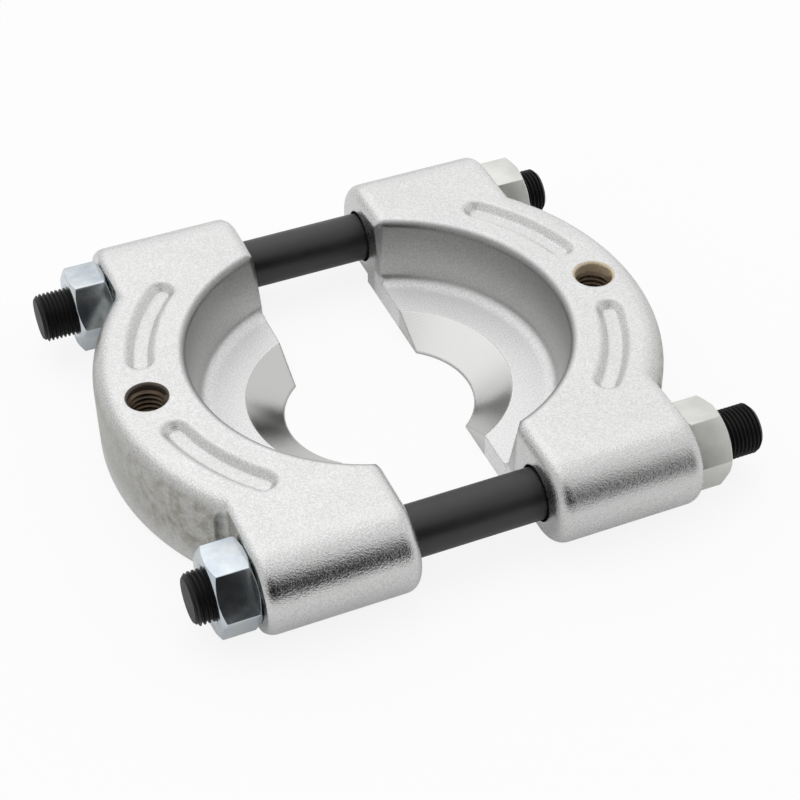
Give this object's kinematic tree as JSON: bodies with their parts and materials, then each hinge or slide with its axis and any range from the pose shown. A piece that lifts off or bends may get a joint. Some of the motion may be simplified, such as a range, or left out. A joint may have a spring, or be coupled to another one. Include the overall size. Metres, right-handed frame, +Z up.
{
  "type": "bearing separator",
  "caption": "Two half-plates with bevelled inner edges drawn together by threaded studs and hex nuts, to grip behind a bearing so a puller can lift it off a shaft.",
  "frame": {"origin": "middle of the overall box, on the plane of the flat undersides", "axes": "+X along the studs to the right, +Y to the rear, +Z up out of the undersides"},
  "size_m": [0.2058, 0.1912, 0.0338],
  "materials": {
    "casting": "satin, bead blasted, machined bevel",
    "stud": "black oxide",
    "nut": "zinc plated"
  },
  "bodies": {
    "left_half": {"left_half": "casting"},
    "front_stud": {"front_stud": "stud"},
    "rear_stud": {"rear_stud": "stud"},
    "right_half": {"right_half": "casting"},
    "left_front_nut": {"left_front_nut": "nut"},
    "left_rear_nut": {"left_rear_nut": "nut"},
    "right_front_nut": {"right_front_nut": "nut"},
    "right_rear_nut": {"right_rear_nut": "nut"}
  },
  "joints": [
    {"name": "left_front_nut_turn", "type": "hinge", "parent": "left_half", "child": "left_front_nut", "pos_m": [-0.0835, -0.0762, 0.0161], "axis": [-1, 0, 0], "range_deg": [-4216, 1084]},
    {"name": "left_rear_nut_turn", "type": "hinge", "parent": "left_half", "child": "left_rear_nut", "pos_m": [-0.0835, 0.0762, 0.0161], "axis": [-1, 0, 0], "range_deg": [-4216, 1084]},
    {"name": "front_stud_slide", "type": "slide", "parent": "left_half", "child": "front_stud", "axis": [1, 0, 0], "range_m": [-0.0234, 0.006]},
    {"name": "rear_stud_slide", "type": "slide", "parent": "left_half", "child": "rear_stud", "axis": [1, 0, 0], "range_m": [-0.02345, 0.00605]},
    {"name": "right_half_slide", "type": "slide", "parent": "front_stud", "child": "right_half", "axis": [1, 0, 0], "range_m": [-0.0234, 0.006]},
    {"name": "right_front_nut_turn", "type": "hinge", "parent": "right_half", "child": "right_front_nut", "pos_m": [0.0805, -0.0762, 0.0161], "axis": [1, 0, 0], "range_deg": [-4216, 1084]},
    {"name": "right_rear_nut_turn", "type": "hinge", "parent": "right_half", "child": "right_rear_nut", "pos_m": [0.0805, 0.0762, 0.0161], "axis": [1, 0, 0], "range_deg": [-4216, 1084]}
  ],
  "couplings": [
    {"joint": "rear_stud_slide", "follows": "front_stud_slide", "ratio": 1},
    {"joint": "left_front_nut_turn", "follows": "front_stud_slide", "rad_per_m": 3141.6},
    {"joint": "left_rear_nut_turn", "follows": "front_stud_slide", "rad_per_m": 3141.6},
    {"joint": "right_front_nut_turn", "follows": "right_half_slide", "rad_per_m": 3141.6},
    {"joint": "right_rear_nut_turn", "follows": "right_half_slide", "rad_per_m": 3141.6}
  ]
}
